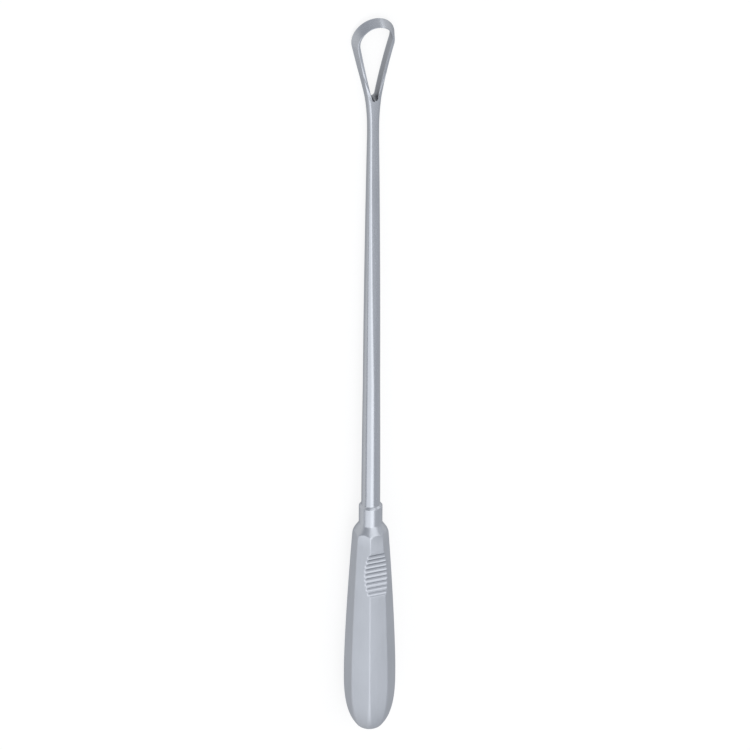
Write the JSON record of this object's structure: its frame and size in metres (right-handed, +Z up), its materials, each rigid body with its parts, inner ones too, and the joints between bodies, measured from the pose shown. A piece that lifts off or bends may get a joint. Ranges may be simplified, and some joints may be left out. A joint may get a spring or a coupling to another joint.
{
  "type": "uterine curette",
  "caption": "Surgical scraping instrument: an open teardrop loop with a cutting edge on a long tapering shaft, set in a hollow octagonal handle with a grooved thumb rest.",
  "frame": {"origin": "on the surface that the instrument lies on, under the middle of its box", "axes": "+Y along the instrument from the handle towards the loop, +Z up, out of the thumb rest, +X across it"},
  "size_m": [0.0186, 0.3094, 0.0188],
  "materials": {
    "handle_steel": "satin, brushed along the facets",
    "shaft_steel": "satin, finer than the handle"
  },
  "bodies": {
    "root": {"handle": "handle_steel", "shaft_and_loop": "shaft_steel"}
  },
  "joints": []
}
